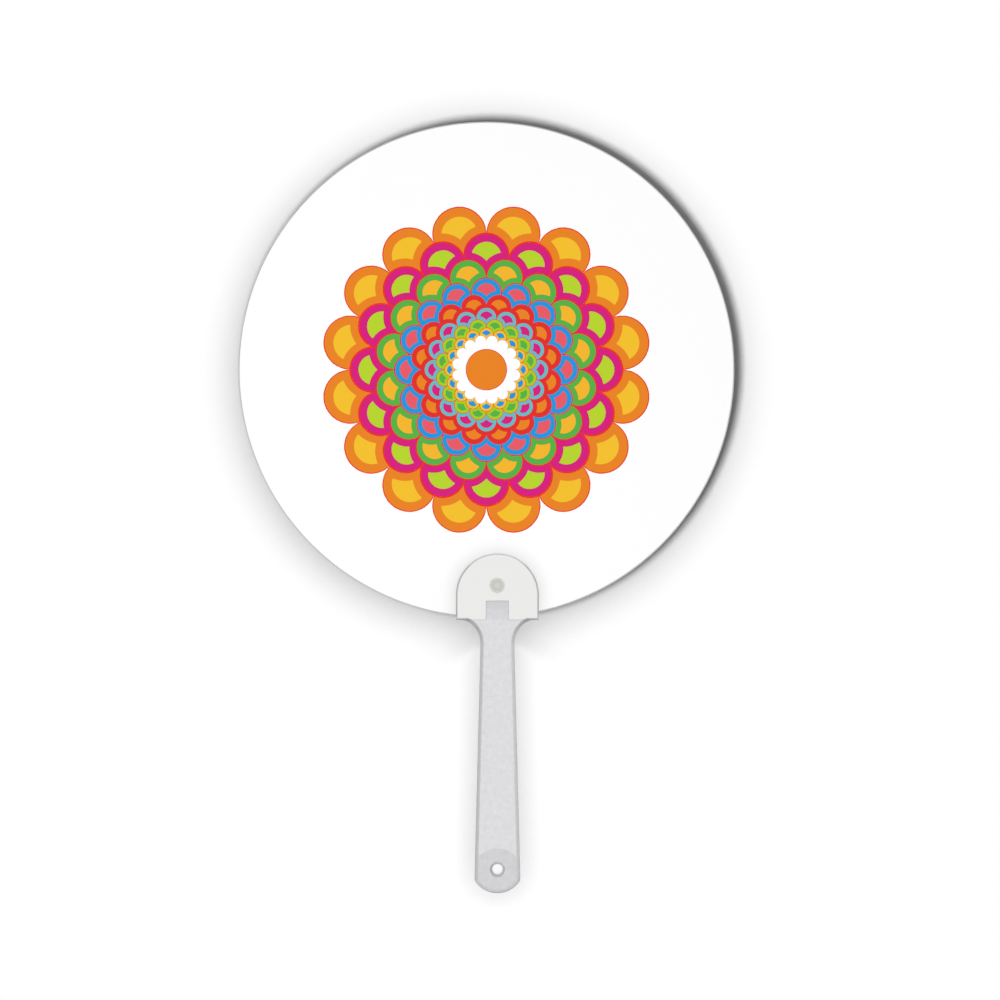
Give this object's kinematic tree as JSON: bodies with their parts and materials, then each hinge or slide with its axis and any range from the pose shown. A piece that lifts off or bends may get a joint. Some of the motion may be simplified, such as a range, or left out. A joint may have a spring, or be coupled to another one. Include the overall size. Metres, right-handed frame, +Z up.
{
  "type": "round hand fan",
  "caption": "Round hand fan: a thin plastic sheet blade held between the jaw of a flat flared handle and a domed clip plate by a split pin and a key.",
  "frame": {"origin": "middle of the grip: on the handle's centre line, 45 mm above its tip, halfway through the stem's thickness", "axes": "+Z up along the handle to the blade, the printed front faces -Y, +X to the right as the front is seen"},
  "size_m": [0.18, 0.004, 0.28],
  "materials": {
    "frosted_plastic": "translucent, finely frosted, with polished rounded edges",
    "printed_sheet": "satin white sheet with a flat colour print",
    "white_plastic": "satin milky white",
    "natural_plastic": "satin warm grey, uncoloured"
  },
  "bodies": {
    "fan": {"handle": "frosted_plastic", "blade": "printed_sheet"},
    "clip": {"clip_plate": "white_plastic", "snap_pin": "natural_plastic"}
  },
  "joints": [
    {"name": "clip_pull", "type": "slide", "parent": "fan", "child": "clip", "axis": [0, -1, 0], "range_m": [0, 0.006]}
  ]
}
